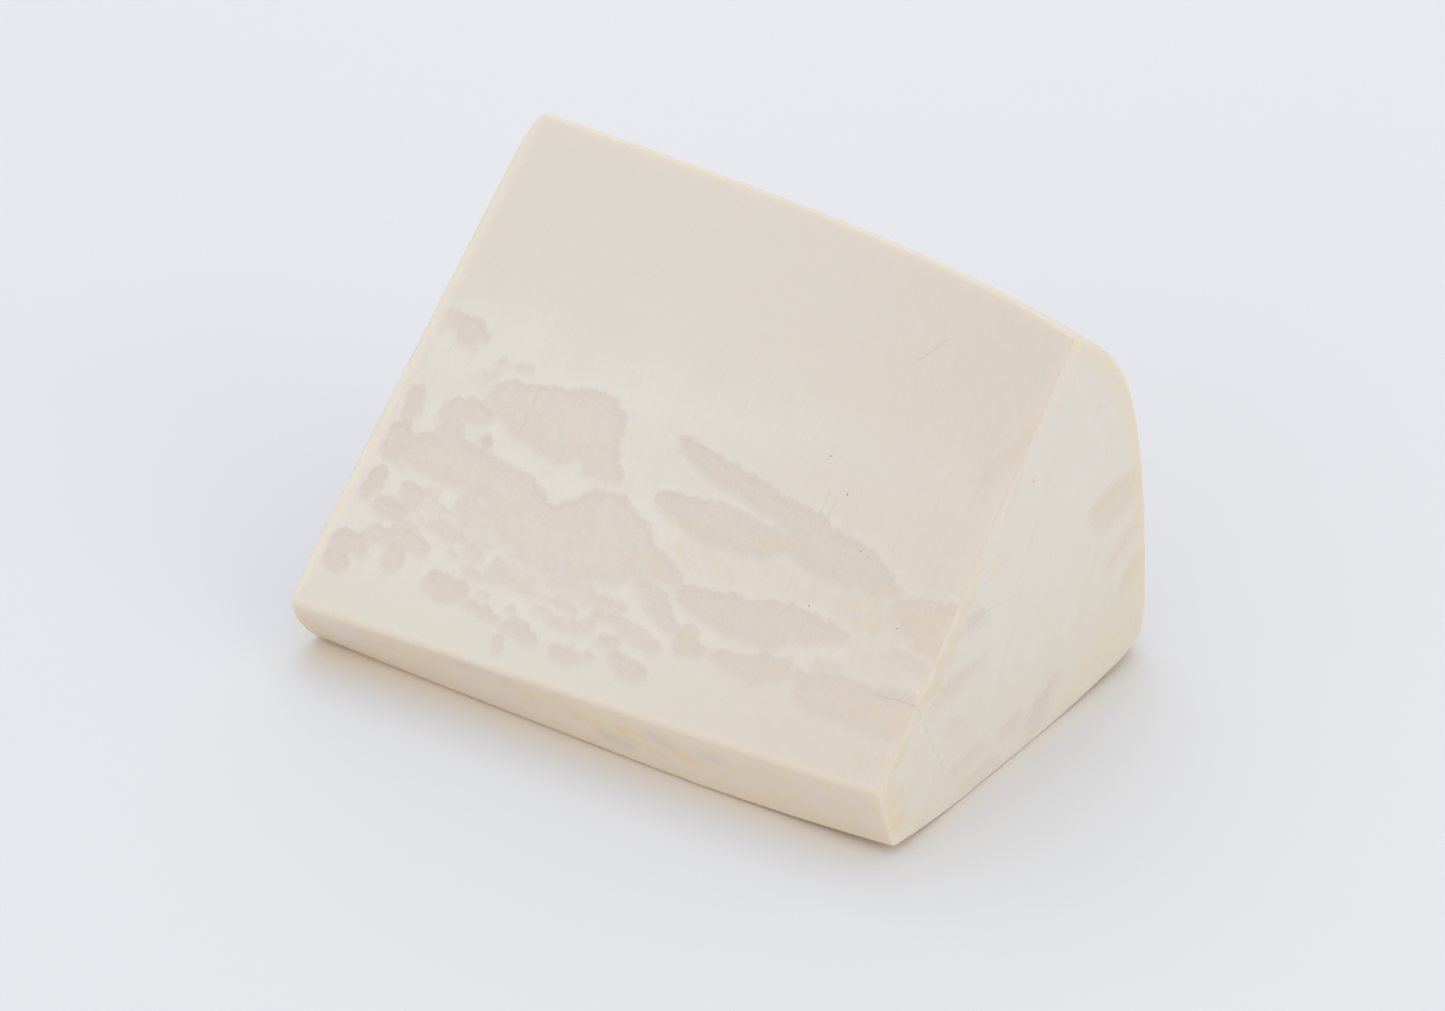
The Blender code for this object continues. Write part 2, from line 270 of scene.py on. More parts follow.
END_TINTS = [
    (0.6, [(4.4, 36.0, 0.7), (3.6, 36.3, 0.5)]),
    (0.7, [(-5.3, 23.8, 0.7), (-8.0, 23.1, 0.6)]),
    (1.3, [(-11.4, 21.9, 0.8), (-12.2, 21.5, 0.6)]),
    (1.3, [(-13.6, 18.9, 0.8), (-15.7, 16.9, 0.8)]),
    (1.2, [(-16.9, 15.8, 0.6), (-18.3, 14.9, 0.6)]),
    (1.8, [(-25.6, 7.4, 1.0), (-23.8, 6.3, 1.1)]),
    (1.6, [(-25.6, 5.0, 1.2), (-23.6, 3.9, 1.1)]),
    (0.6, [(-22.5, 3.5, 0.9), (-20.0, 2.8, 0.7)]),
    (0.35, [(15.8, 33.0, 1.1), (18.0, 29.0, 1.2)]),
    (0.4, [(11.5, 4.3, 1.2), (16.0, 3.6, 1.6), (21.0, 3.2, 1.4)]),
    (0.8, [(21.6, 21.0, 1.6), (16.5, 20.6, 1.9), (12.6, 20.6, 1.4)]),
    (0.8, [(22.4, 17.4, 1.2), (18.6, 15.0, 0.9), (15.0, 13.2, 0.7)]),
    (0.8, [(22.5, 11.6, 1.2), (19.0, 10.2, 1.0)]),
]
END_PALES = [
    (0.4, [(8.0, 26.5, 0.4), (10.0, 22.5, 0.3), (11.5, 18.5, 0.25)]),
    (0.7, [(14.0, 16.6, 0.25), (21.5, 19.0, 0.3)]),
    (0.7, [(15.5, 12.6, 0.25), (21.6, 16.0, 0.3)]),
    (0.6, [(16.8, 11.2, 0.25), (22.0, 14.2, 0.3)]),
]
# On the strip a place is (x, z), for yellow-brown, pale and grey streaks.
STRIP_STREAKS = [
    (1.0, [(-36.0, 2.6, 2.5), (-33.0, 3.2, 1.6)]),
    (0.6, [(-34.0, 5.0, 0.6), (-31.8, 5.2, 0.5)]),
    (0.6, [(-25.5, 4.9, 0.7), (-20.5, 4.9, 0.6)]),
    (0.55, [(-17.8, 5.4, 0.5), (-13.2, 5.0, 0.5)]),
    (0.5, [(-9.5, 5.4, 0.6), (-3.5, 5.0, 0.7)]),
    (1.0, [(-2.0, 4.8, 0.7), (1.0, 4.0, 0.9), (3.6, 3.2, 0.6)]),
    (1.0, [(5.2, 4.6, 0.6), (7.2, 3.8, 0.8), (9.4, 3.2, 0.5)]),
    (0.9, [(10.0, 4.2, 0.4), (14.0, 3.7, 0.6)]),
]
STRIP_PALES = [
    (0.9, [(-31.0, 4.7, 0.9), (-28.0, 4.5, 0.9), (-25.0, 4.3, 0.5)]),
    (0.6, [(-14.0, 3.4, 0.5), (-8.0, 3.2, 0.5)]),
    (0.5, [(-18.0, 1.6, 0.6), (-11.0, 1.3, 0.5)]),
    (0.45, [(5.0, 2.0, 0.5), (12.0, 1.8, 0.5)]),
    (0.3, [(18.0, 3.6, 1.2), (26.0, 3.9, 1.6), (34.0, 4.2, 1.8)]),
]
STRIP_GREYS = [
    (0.6, [(-13.5, 6.0, 0.4), (-8.0, 5.8, 0.4)]),
    (0.8, [(3.0, 2.7, 0.4), (6.2, 2.4, 0.3)]),
    (0.8, [(9.4, 5.3, 0.3), (11.2, 5.1, 0.3)]),
    (0.6, [(15.2, 5.1, 0.5), (17.8, 4.9, 0.4)]),
]
# Cracks: how dark each is, and the places along it.
SLOPE_CRACKS = [
    (0.5, [(31.8, 9.1), (34.0, 9.3), (36.0, 9.2)]),
    (0.4, [(21.2, 42.2), (21.9, 43.0), (22.5, 44.0)]),
]
END_CRACKS = [
    (0.3, [(-20.3, 14.6), (-19.6, 12.9), (-18.8, 11.3), (-17.2, 8.3), (-15.5, 5.5)]),
    (0.12, [(-8.8, 19.4), (-6.2, 19.1), (-3.6, 18.7), (-1.4, 18.2)]),
]
# How far from a patch's edge and from a crack the fields reach, and how softly a tint ends.
FIELD_REACH = 4.0
CRACK_REACH = 0.9
TINT_SOFTNESS = 1.0
FAR = 99.0


def lerp(start, end, share):
    return start + (end - start) * share


def ramp(value, low, high):
    """0 at low and 1 at high, eased between them."""
    share = np.clip((value - low) / (high - low), 0.0, 1.0)
    return share * share * (3.0 - 2.0 * share)


# The block's form


def tapered(depth, taper, curve, share):
    """A depth of the tusk's surface at a share of the length."""
    return depth - taper * share - curve * share**CURVE_POWER


def section_sides(share):
    """The strip, slope, back and base of a section, each a line of (y, z) points."""
    strip_height = lerp(STRIP_HEIGHT_LEFT, STRIP_HEIGHT_RIGHT, share)
    apex_depth = tapered(APEX_DEPTH, APEX_TAPER, APEX_CURVE, share)
    back_depth = tapered(BACK_DEPTH, BACK_TAPER, BACK_CURVE, share)
    apex_height = strip_height + math.tan(SLOPE_ANGLE) * (apex_depth + STRIP_OVERHANG)
    setback = BASE_SETBACK * max(0.0, 1.0 - share / SETBACK_END) ** SETBACK_POWER
    base_front = Vector((setback, 0.0))
    strip_top = Vector((-STRIP_OVERHANG, strip_height))
    apex = Vector((apex_depth, apex_height))
    shoulder = apex + Vector((SHOULDER_RUN, -SHOULDER_DROP))
    lower_back = Vector((back_depth - BACK_LEAN, apex_height * SHOULDER_HEIGHT_SHARE))
    base_back = Vector((back_depth, 0.0))
    back = interpolate_bezier(apex, shoulder, lower_back, base_back, CURVE_POINTS[0])
    bulge = STRIP_BULGE * max(0.0, 1.0 - share / BULGE_END) ** 2
    outwards = (strip_top - base_front).orthogonal().normalized() * bulge
    handles = [base_front.lerp(strip_top, part / 3) + outwards for part in (1, 2)]
    strip = interpolate_bezier(base_front, *handles, strip_top, CURVE_POINTS[1])
    return [strip, [strip_top, apex], back, [base_back, base_front]]


def evenly(line, start_trim, end_trim, count):
    """count evenly spaced points along a line, leaving out a trim at each end."""
    points = np.array([tuple(point) for point in line])
    along = np.concatenate([[0.0], np.cumsum(np.hypot(*np.diff(points, axis=0).T))])
    places = np.linspace(start_trim, along[-1] - end_trim, count)
    return np.stack([np.interp(places, along, points[:, axis]) for axis in (0, 1)], 1)


def rounded(start, corner, end):
    """The points of a rounded corner, between a start and an end that are already there."""
    first, last = Vector(start), Vector(end)
    handles = first.lerp(corner, 0.6), last.lerp(corner, 0.6)
    curve = interpolate_bezier(first, *handles, last, CORNER_POINTS + 2)
    return np.array([tuple(point) for point in curve[1:-1]])


def section(share):
    """The rounded outline at a share of the length: each side, followed by the corner after it."""
    sides = section_sides(share)
    trims = [lerp(*ROUNDINGS[corner], share) for corner in CORNERS]
    trims.append(trims[0])
    runs = [evenly(*each) for each in zip(sides, trims, trims[1:], SIDE_POINTS)]
    ring = []
    for place, run in enumerate(runs):
        ring += [run, rounded(run[-1], sides[place][-1], runs[(place + 1) % 4][0])]
    return np.concatenate(ring)


def side_weights():
    """For each point of a section, how much it belongs to the strip, slope, back and base."""
    rows = []
    for side, count in enumerate(SIDE_POINTS):
        own, following = np.eye(4)[side], np.eye(4)[(side + 1) % 4]
        rows += [own] * count
        rows += [lerp(own, following, (step + 1) / (CORNER_POINTS + 1)) for step in range(CORNER_POINTS)]
    return np.array(rows)


def inwards(ring):
    """The direction into the section at each point of its outline."""
    tangent = np.roll(ring, -1, 0) - np.roll(ring, 1, 0)
    tangent /= np.linalg.norm(tangent, axis=1)[:, None]
    return np.stack([tangent[:, 1], -tangent[:, 0]], 1)


def depth_inside(points, line):
    """How deep each point lies inside a line of a section's outline, which bulges everywhere."""
    edges = np.diff(line, axis=0)
    edges /= np.linalg.norm(edges, axis=1)[:, None]
    return np.min([(points - start) @ (edge[1], -edge[0]) for start, edge in zip(line, edges)], 0)


def end_rounding(radius):
    """The rings of a rounded end: distance from its plane, how far drawn in, and share of the end face."""
    turns = np.linspace(0.0, math.pi / 2, END_RINGS, endpoint=False)
    return [(radius * (1 - math.cos(turn)), radius * (1 - math.sin(turn)), math.cos(turn)) for turn in turns]


def stations():
    """Each ring's x, how far it is drawn in, and how much it belongs to the left and right end face."""
    left = [(gap, depth, (share, 0.0)) for gap, depth, share in end_rounding(LEFT_END_ROUNDING)]
    between = np.linspace(LEFT_END_ROUNDING, LENGTH - RIGHT_END_ROUNDING, STATIONS)
    right = [(LENGTH - gap, depth, (0.0, share)) for gap, depth, share in end_rounding(RIGHT_END_ROUNDING)]
    return left + [(x, 0.0, (0.0, 0.0)) for x in between] + right[::-1]


def end_face(ring):
    """An end's inner points, and triangles. A triangle's corners below len(ring) are the ring's own."""
    low, high = ring.min(0), ring.max(0)
    rows = np.arange(low[1], high[1], CAP_SPACING * math.sqrt(3) / 2)
    grid = [
        (y + row % 2 * CAP_SPACING / 2, z)
        for row, z in enumerate(rows)
        for y in np.arange(low[0], high[0], CAP_SPACING)
    ]
    inner = np.array(grid)
    inner = inner[depth_inside(inner, np.vstack([ring, ring[:1]])) > CAP_SPACING * 0.5]
    flat = [Vector(point) for point in np.concatenate([ring, inner])]
    _, _, triangles, origins, _, _ = delaunay_2d_cdt(flat, [], [list(range(len(ring)))], 1, 1e-5)
    return inner, [[origins[corner][0] for corner in triangle] for triangle in triangles]


def soften_corners(points):
    """Draws each soft corner inwards, by less the further a point is from it."""
    for share, corner, reach, depth in SOFT_CORNERS:
        y, z = section_sides(share)[CORNERS.index(corner)][0]
        place = np.array([LENGTH * share + LEFT_END_LEAN * (1.0 - share) * z, y, z])
        nearness = np.clip(1.0 - np.linalg.norm(points - place, axis=1) / reach, 0.0, 1.0)
        points[:, 0] += (depth if share < 0.5 else -depth) * nearness**2


def eased(distance, start):
    return np.clip((np.abs(distance) - start) / (1.0 - start), 0.0, 1.0) ** 2


def lift_base_corners(points):
    """Raises the base towards its corners, and less so the higher a point is."""
    along = points[:, 0] / (LENGTH / 2) - 1.0
    across = points[:, 1] / (BACK_DEPTH / 2) - 1.0
    fading = np.clip(1.0 - points[:, 2] / LIFT_HEIGHT, 0.0, 1.0) ** 2
    for (end, edge), (lift, start_along, start_across) in CORNER_LIFTS.items():
        here = ((along < 0) == (end == "left")) & ((across < 0) == (edge == "front"))
        closeness = eased(along, start_along) * eased(across, start_across)
        points[:, 2] += lift * closeness * fading * here


def wear_surface(points):
    """Makes the ground faces slightly uneven, and wears the ridge between the slope and the right end."""
    for place, (x, y, z) in enumerate(points):
        above_base = min(1.0, z / WAVE_START)
        hollow = 0.5 + 0.5 * noise.noise(Vector((x, y, z)) / WAVE_LENGTH)
        points[place, 2] -= WAVE_DEPTH * hollow * above_base
        ridge_gap = (LENGTH - x) + abs((z - slope_height(x, y)) * math.cos(SLOPE_ANGLE))
        if ridge_gap < WEAR_REACH:
            dip = max(0.0, noise.noise(Vector((y, z, WEAR_CHOICE)) / WEAR_LENGTH))
            points[place, 0] -= WEAR_DEPTH * dip * (1.0 - ridge_gap / WEAR_REACH)


def slope_height(x, y):
    """Height of the slope's plane over a place in the block's own measure."""
    strip_height = lerp(STRIP_HEIGHT_LEFT, STRIP_HEIGHT_RIGHT, x / LENGTH)
    return strip_height + math.tan(SLOPE_ANGLE) * (y + STRIP_OVERHANG)


def loft(rows):
    """The rings of points along the block, their weights of the sides and ends, and the faces between."""
    weights = side_weights()
    count = len(weights)
    rings, side_shares, end_shares = [], [], []
    for x, depth, ends in rows:
        outline = section(x / LENGTH)
        outline += depth * inwards(outline)
        rings.append(np.column_stack([np.full(count, x), outline]))
        side_shares.append(weights * (1.0 - max(ends)))
        end_shares.append(np.tile(ends, (count, 1)))
    faces = []
    for start in range(0, (len(rows) - 1) * count, count):
        for place in range(count):
            beside = (place + 1) % count
            faces.append((start + place, start + beside, start + count + beside, start + count + place))
    return rings, side_shares, end_shares, faces


def build_skin():
    """The block's surface round its origin: points, faces, and weights of the four sides and two ends."""
    rows = stations()
    rings, side_shares, end_shares, faces = loft(rows)
    count = len(rings[0])
    made = len(rows) * count
    for row, ends in ((0, (1.0, 0.0)), (len(rows) - 1, (0.0, 1.0))):
        inner, triangles = end_face(rings[row][:, 1:])
        rings.append(np.column_stack([np.full(len(inner), rows[row][0]), inner]))
        side_shares.append(np.zeros((len(inner), 4)))
        end_shares.append(np.tile(ends, (len(inner), 1)))
        for triangle in triangles:
            faces.append([place + (row * count if place < count else made - count) for place in triangle])
        made += len(inner)
    points = np.concatenate(rings)
    wear_surface(points)
    points[:, 0] += LEFT_END_LEAN * (1.0 - points[:, 0] / LENGTH) * points[:, 2]
    soften_corners(points)
    lift_base_corners(points)
    return points - CENTRE, faces, np.concatenate(side_shares), np.concatenate(end_shares)


# Where the marks are


def stroke_depth(places, stroke):
    """How deep each place lies inside a stroke, negative outside, and how far its nearest edge faces up."""
    deepest = np.full(len(places), -FAR)
    facing = np.zeros(len(places))
    for start, end in zip(stroke, stroke[1:]):
        start, end = np.array(start), np.array(end)
        run = end[:2] - start[:2]
        share = np.clip((places - start[:2]) @ run / (run @ run), 0.0, 1.0)
        away = places - start[:2] - share[:, None] * run
        gap = np.hypot(*away.T)
        depth = lerp(start[2], end[2], share) - gap
        facing = np.where(depth > deepest, away[:, 1] / np.maximum(gap, 0.01), facing)
        deepest = np.maximum(deepest, depth)
    return deepest, facing


def patch_fields(places, patches):
    """Of the patch that each place is deepest in: that depth, its edge's facing, orange and darkness."""
    none = np.zeros(len(places))
    best = [none - FIELD_REACH, none, none, none]
    for orange, darkness, stroke in patches:
        depth, facing = stroke_depth(places, stroke)
        deeper = depth > best[0]
        best = [np.where(deeper, new, old) for new, old in zip((depth, facing, orange, darkness), best)]
    return [np.clip(best[0], -FIELD_REACH, FIELD_REACH), *best[1:]]


def tint_field(places, tints):
    """How strongly each place is tinted, fading softly round every stroke."""
    field = np.zeros(len(places))
    for strength, stroke in tints:
        depth, _ = stroke_depth(places, stroke)
        field = np.maximum(field, strength * ramp(depth, -TINT_SOFTNESS, TINT_SOFTNESS / 2))
    return field


def crack_fields(places, cracks):
    """The signed distance across the nearest crack, and its strength where it is near."""
    across = np.full(len(places), CRACK_REACH)
    nearest = np.full(len(places), FAR)
    strengths = np.zeros(len(places))
    for strength, line in cracks:
        for start, end in zip(line, line[1:]):
            start = np.array(start)
            run = np.array(end) - start
            share = np.clip((places - start) @ run / (run @ run), 0.0, 1.0)
            gap = np.hypot(*(places - start - share[:, None] * run).T)
            side = (run[0] * (places[:, 1] - start[1]) - run[1] * (places[:, 0] - start[0])) / np.hypot(*run)
            across = np.where(gap < nearest, side, across)
            strengths = np.where(gap < nearest, strength, strengths)
            nearest = np.minimum(gap, nearest)
    return [across, strengths * (1.0 - ramp(nearest, CRACK_REACH / 2, CRACK_REACH))]


def surface_fields(points, sides, ends):
    """Everything that the ivory's material reads from the mesh, by name."""
    x, y, z = points.T
    up_slope = (y + CENTRE[1] + STRIP_OVERHANG) / math.cos(SLOPE_ANGLE)
    shares = {"strip": sides[:, 0], "slope": sides[:, 1], "back": sides[:, 2], "right_end": ends[:, 1]}
    on_slope_face, on_strip, on_end = (np.column_stack(pair) for pair in ((x, up_slope), (x, z), (y, z)))
    slope_marks = patch_fields(on_slope_face, SLOPE_PATCHES) + crack_fields(on_slope_face, SLOPE_CRACKS)
    slope_marks += [tint_field(on_slope_face, strokes) for strokes in (SLOPE_TINTS, SLOPE_PALES)]
    end_marks = patch_fields(on_end, END_PATCHES) + crack_fields(on_end, END_CRACKS)
    end_marks += [tint_field(on_end, strokes) for strokes in (END_TINTS, END_PALES)]
    names = ["patch", "patch_facing", "patch_orange", "patch_darkness"]
    names += ["crack", "crack_strength", "tint", "pale"]
    on_end_face = shares["right_end"] > 0.5
    marks = {name: np.where(on_end_face, *pair) for name, *pair in zip(names, end_marks, slope_marks)}
    for name in ("patch_darkness", "crack_strength", "tint", "pale"):
        marks[name] = marks[name] * (shares["slope"] + shares["right_end"])
    marks["streak"] = tint_field(on_strip, STRIP_STREAKS)
    marks["milk"] = tint_field(on_strip, STRIP_PALES)
    marks["shade"] = tint_field(on_strip, STRIP_GREYS)

    own_x = x + CENTRE[0]
    over_slope = (z - slope_height(own_x, y + CENTRE[1])) * math.cos(SLOPE_ANGLE)
    back_edge = evenly(section_sides(1.0)[2], 0.0, 0.0, 60) - CENTRE[1:]
    return shares | marks | {
        "up_slope": up_slope,
        "left_gap": np.clip(own_x - LEFT_END_LEAN * z, 0.0, 20.0),
        "ridge_gap": np.clip(LENGTH - own_x, 0.0, 20.0) * shares["slope"]
        + np.clip(over_slope, -20.0, 0.0) * shares["right_end"],
        "rim_gap": np.clip(depth_inside(np.column_stack([y, z]), back_edge), 0.0, 20.0),
    }


def store_fields(mesh, fields):
    for name, values in fields.items():
        attribute = mesh.attributes.new(name, "FLOAT", "POINT")
        attribute.data.foreach_set("value", values.astype(np.float32))


# Materials


def srgb(red, green, blue):
    """A colour given as it looks on screen, from 0 to 255, as the linear values that a shader takes."""
    shares = [value / 255.0 for value in (red, green, blue)]
    linear = [s / 12.92 if s <= 0.04045 else ((s + 0.055) / 1.055) ** 2.4 for s in shares]
    return (*linear, 1.0)


class Nodes:
    """Adds nodes to a material. Each method returns the new node's output."""

    def __init__(self, material):
        self.tree = material.node_tree

    def add(self, kind, inputs, output=0, **settings):
        node = self.tree.nodes.new("ShaderNode" + kind)
        for name, value in settings.items():
            setattr(node, name, value)
        for place, value in inputs.items():
            if isinstance(value, bpy.types.NodeSocket):
                self.tree.links.new(value, node.inputs[place])
            else:
                node.inputs[place].default_value = value
        return node.outputs[output]

    def field(self, name):
        """A number that the mesh carries at each point."""
        return self.add("Attribute", {}, output="Fac", attribute_name=name)

    def math(self, operation, *values):
        return self.add("Math", dict(enumerate(values)), operation=operation)

    def times(self, *values):
        product = values[0]
        for value in values[1:]:
            product = self.math("MULTIPLY", product, value)
        return product

    def plus(self, *values):
        total = values[0]
        for value in values[1:]:
            total = self.math("ADD", total, value)
        return total

    def minus(self, first, second):
        return self.math("SUBTRACT", first, second)

    def ramp(self, value, low, high, start=0.0, end=1.0):
        """start up to low and end from high on, eased between them."""
        inputs = {"Value": value, "From Min": low, "From Max": high, "To Min": start, "To Max": end}
        return self.add("MapRange", inputs, output="Result", interpolation_type="SMOOTHSTEP")

    def band(self, value, middle, half_width):
        """1 at middle, falling to 0 at half_width either side of it."""
        gap = self.math("ABSOLUTE", self.minus(value, middle))
        return self.ramp(gap, 0.0, half_width, 1.0, 0.0)

    def axis(self, vector, name):
        return self.add("SeparateXYZ", {0: vector}, output=name)

    def tilted(self, vector, angle):
        """The vector turned about the block's length."""
        return self.add("VectorRotate", {"Vector": vector, "Angle": angle}, rotation_type="X_AXIS")

    def scaled(self, vector, *scale):
        return self.add("VectorMath", {0: vector, 1: scale}, operation="MULTIPLY")

    def noise(self, vector, scale=1.0, detail=2.0, roughness=0.5, distortion=0.0):
        inputs = {"Vector": vector, "Scale": scale, "Detail": detail}
        inputs |= {"Roughness": roughness, "Distortion": distortion}
        return self.add("TexNoise", inputs, output="Fac")

    def wander(self, *noise):
        """Noise either side of 0."""
        return self.minus(self.noise(*noise), 0.5)

    def mix(self, amount, first, second):
        return self.add("Mix", {0: amount, 6: first, 7: second}, output=2, data_type="RGBA")

    def lighten(self, colour, amount):
        """The colour times 1 + amount."""
        return self.add("VectorMath", {0: colour, "Scale": self.plus(amount, 1.0)}, operation="SCALE")


# The studio's light makes the ivory look this much darker or lighter than its own colour.
LIGHT_SHARE = (0.92, 0.93, 0.97, 1.0)


def tone(red, green, blue):
    """The ivory's own colour where it should look like this in the studio's light."""
    return tuple(value * share for value, share in zip(srgb(red, green, blue), LIGHT_SHARE))


# The slope from its middle to its top, its pale band and foot, its right side, and its patches
IVORY = tone(222, 213, 201)
IVORY_HIGH = tone(221, 212, 201)
IVORY_PALE = tone(225, 218, 209)
IVORY_LOW = tone(221, 213, 200)
IVORY_RIGHT = tone(215, 203, 188)
MAUVE = tone(212, 200, 189)
ROSE = tone(217, 202, 186)
NET = tone(225, 217, 206)
# The right end, the tints, the strip, the pale marks, painted highlights and glow, and the outer surface
END_IVORY = tone(224, 217, 208)
END_FOOT = tone(221, 213, 193)
ORANGE = tone(218, 202, 177)
# Yellow for the tints, and for the painted glow of light through the thin rims and edges.
YELLOW_TINT_AND_GLOW = tone(228, 214, 180)
TAN = tone(229, 214, 192)
TAN_YELLOW = tone(226, 206, 166)
TAN_PALE = tone(224, 214, 202)
GREY = tone(208, 200, 192)
# Pale for the growth waves, and for the painted highlight on the ridge.
PALE_WAVE_AND_HIGHLIGHT = tone(222, 216, 200)
MILKY = tone(228, 221, 212)
# Painted highlight along the slope's left edge.
EDGE_HIGHLIGHT = tone(230, 220, 205)
CRACK_DARK = tone(190, 158, 140)
BARK = tone(222, 208, 186)
BARK_DARK = tone(207, 187, 160)
SPECK_DARK = tone(112, 98, 88)
SPECK_BROWN = tone(168, 128, 96)
SPECK_RED = tone(186, 132, 128)
SPECK_PINK = tone(226, 120, 124)

# Specks of dirt: place, radius and colour.
SLOPE_SPECKS = [
    (16.3, 30.2, 0.09, SPECK_DARK),
    (19.7, 27.0, 0.10, SPECK_DARK),
    (23.6, 22.0, 0.11, SPECK_RED),
    (24.6, 21.7, 0.06, SPECK_BROWN),
    (20.8, 15.4, 0.11, SPECK_BROWN),
    (30.6, 15.8, 0.09, SPECK_BROWN),
    (28.7, -0.2, 0.08, SPECK_DARK),
    (35.9, 48.4, 0.22, SPECK_DARK),
]
END_SPECKS = [
    (-0.2, 29.8, 0.13, SPECK_PINK),
    (-0.4, 30.1, 0.08, SPECK_PINK),
]


# How far the end's grey streaks lean, and how far the comb of its patches and tints rises towards the back.
STREAK_LEAN = math.radians(35.0)
COMB_TILT = math.radians(18.0)

# Width of a crack and how far it wanders, how light scatters in the ivory, and the depth of its relief.
CRACK_WIDTH = 0.15
CRACK_WANDER = 0.5
SCATTER_WEIGHT = 0.35
SCATTER_COLOURS = (1.0, 0.62, 0.34)
SCATTER_REACH = 0.003
IVORY_IOR = 1.54
RELIEF_DEPTH = 0.00001


def on_slope(x, v):
    """Where a mark's place on the slope is in space."""
    y = v * math.cos(SLOPE_ANGLE) - STRIP_OVERHANG - CENTRE[1]
    return (x, y, slope_height(x + CENTRE[0], y + CENTRE[1]))


def patch_mask(nodes, slope_mm, comb):
    """How much a point is in a patch. Upper edges are crisp and scalloped, and lower ones fray out."""
    scallops = nodes.add("TexVoronoi", {"Vector": slope_mm, "Scale": 0.62}, output="Distance")
    lobes = nodes.minus(0.90, scallops)
    ragged = nodes.wander(slope_mm, 0.9, 5.0, 0.78)
    combed = nodes.times(nodes.minus(comb, 0.5), nodes.field("right_end"), 3.2)
    fringe = nodes.wander(nodes.scaled(slope_mm, 3.6, 0.6, 0.6), 1.0, 1.0)
    parts = nodes.times(lobes, 0.55), nodes.times(ragged, 1.7), nodes.times(fringe, 0.28), combed
    depth = nodes.plus(nodes.field("patch"), nodes.plus(*parts))
    softness = nodes.ramp(nodes.field("patch_facing"), -0.7, 0.5, 0.6, 0.2)
    softness = nodes.plus(softness, nodes.times(nodes.field("right_end"), 0.8))
    return depth, nodes.ramp(depth, nodes.times(softness, -1.0), softness)


def ground_colour(nodes, mm, slope_mm):
    """The ivory between the patches, of the faces that were ground flat."""
    up_slope = nodes.field("up_slope")
    place = nodes.plus(up_slope, nodes.times(nodes.wander(mm, 0.11, 3.0, 0.55, 0.4), 16.0))
    lower = nodes.ramp(place, 33.0, 18.0)
    colour = nodes.mix(nodes.ramp(place, 34.0, 44.0), IVORY, IVORY_HIGH)
    colour = nodes.mix(nodes.times(nodes.band(place, 31.0, 7.0), 0.8), colour, IVORY_PALE)
    mottle = nodes.ramp(nodes.noise(slope_mm, 0.45, 3.0), 0.35, 0.62, 0.45, 1.0)
    colour = nodes.mix(nodes.times(lower, mottle), colour, NET)
    colour = nodes.mix(nodes.times(nodes.ramp(up_slope, 9.0, 1.0), 0.8), colour, IVORY_LOW)
    rightwards = nodes.ramp(nodes.axis(mm, "X"), -12.0, 40.0, 0.0, 0.6)
    return nodes.mix(rightwards, colour, IVORY_RIGHT)


def paint_patches(nodes, colour, slope_mm, comb):
    """The darker islands, each with a pale line above its upper edge and warmer towards its lower one."""
    depth, mask = patch_mask(nodes, slope_mm, comb)
    facing_up = nodes.ramp(nodes.field("patch_facing"), -0.1, 0.6)
    seen = nodes.ramp(nodes.field("patch_darkness"), 0.0, 0.15)
    broken = nodes.ramp(nodes.noise(slope_mm, 0.5, 2.0), 0.40, 0.60)
    halo = nodes.times(nodes.band(depth, -0.45, 0.5), facing_up, seen, broken, 0.3)
    colour = nodes.mix(halo, colour, MILKY)
    warmth = nodes.ramp(nodes.noise(slope_mm, 0.6, 3.0, 0.6), 0.34, 0.64)
    warmth = nodes.times(warmth, nodes.ramp(depth, 0.1, 2.2, 0.5, 1.5))
    warmth = nodes.times(warmth, nodes.plus(nodes.field("patch_orange"), 0.35))
    inside = nodes.mix(warmth, MAUVE, ROSE)
    speckle = nodes.ramp(nodes.noise(slope_mm, 2.6, 3.0, 0.6), 0.30, 0.68, 0.66, 1.0)
    edge = nodes.times(nodes.band(depth, 0.45, 0.7), facing_up, 0.22)
    deep = nodes.ramp(depth, 0.6, 2.6, 0.90, 0.76)
    amount = nodes.plus(nodes.times(nodes.field("patch_darkness"), deep), edge)
    return nodes.mix(nodes.times(mask, amount, speckle), colour, inside)


def paint_tints(nodes, colour, slope_mm, comb):
    """Soft orange flecks, and milky lines and spots."""
    mottled = nodes.noise(nodes.scaled(slope_mm, 1.5, 0.8, 0.8), 1.0, 3.0, 0.65)
    to_comb = nodes.times(nodes.field("right_end"), nodes.minus(comb, mottled))
    flecks = nodes.ramp(nodes.plus(mottled, to_comb), 0.30, 0.68)
    orange = nodes.mix(nodes.times(nodes.field("right_end"), 0.4), ORANGE, YELLOW_TINT_AND_GLOW)
    colour = nodes.mix(nodes.times(nodes.field("tint"), flecks, 0.75), colour, orange)
    clouds = nodes.ramp(nodes.noise(slope_mm, 0.9, 3.0, 0.6), 0.34, 0.58)
    return nodes.mix(nodes.times(nodes.field("pale"), clouds, 0.7), colour, MILKY)


def grinding_lines(nodes, slope_mm):
    """Fine strokes up the slope: sparse dark and pale ones in places, and a faint set everywhere."""
    sparse = nodes.noise(nodes.scaled(slope_mm, 2.9, 0.18, 0.18), 1.0, 2.0, 0.65)
    faint = nodes.noise(nodes.scaled(slope_mm, 6.5, 0.30, 0.30), 1.0, 1.0)
    middle = nodes.band(nodes.field("up_slope"), 26.0, 16.0)
    where = nodes.times(nodes.ramp(nodes.noise(slope_mm, 0.11, 1.0), 0.36, 0.60), middle)
    where = nodes.plus(nodes.times(where, 0.85), 0.15)
    dark = nodes.times(nodes.ramp(sparse, 0.59, 0.72), where)
    pale = nodes.times(nodes.ramp(sparse, 0.41, 0.28), where)
    return dark, pale, faint


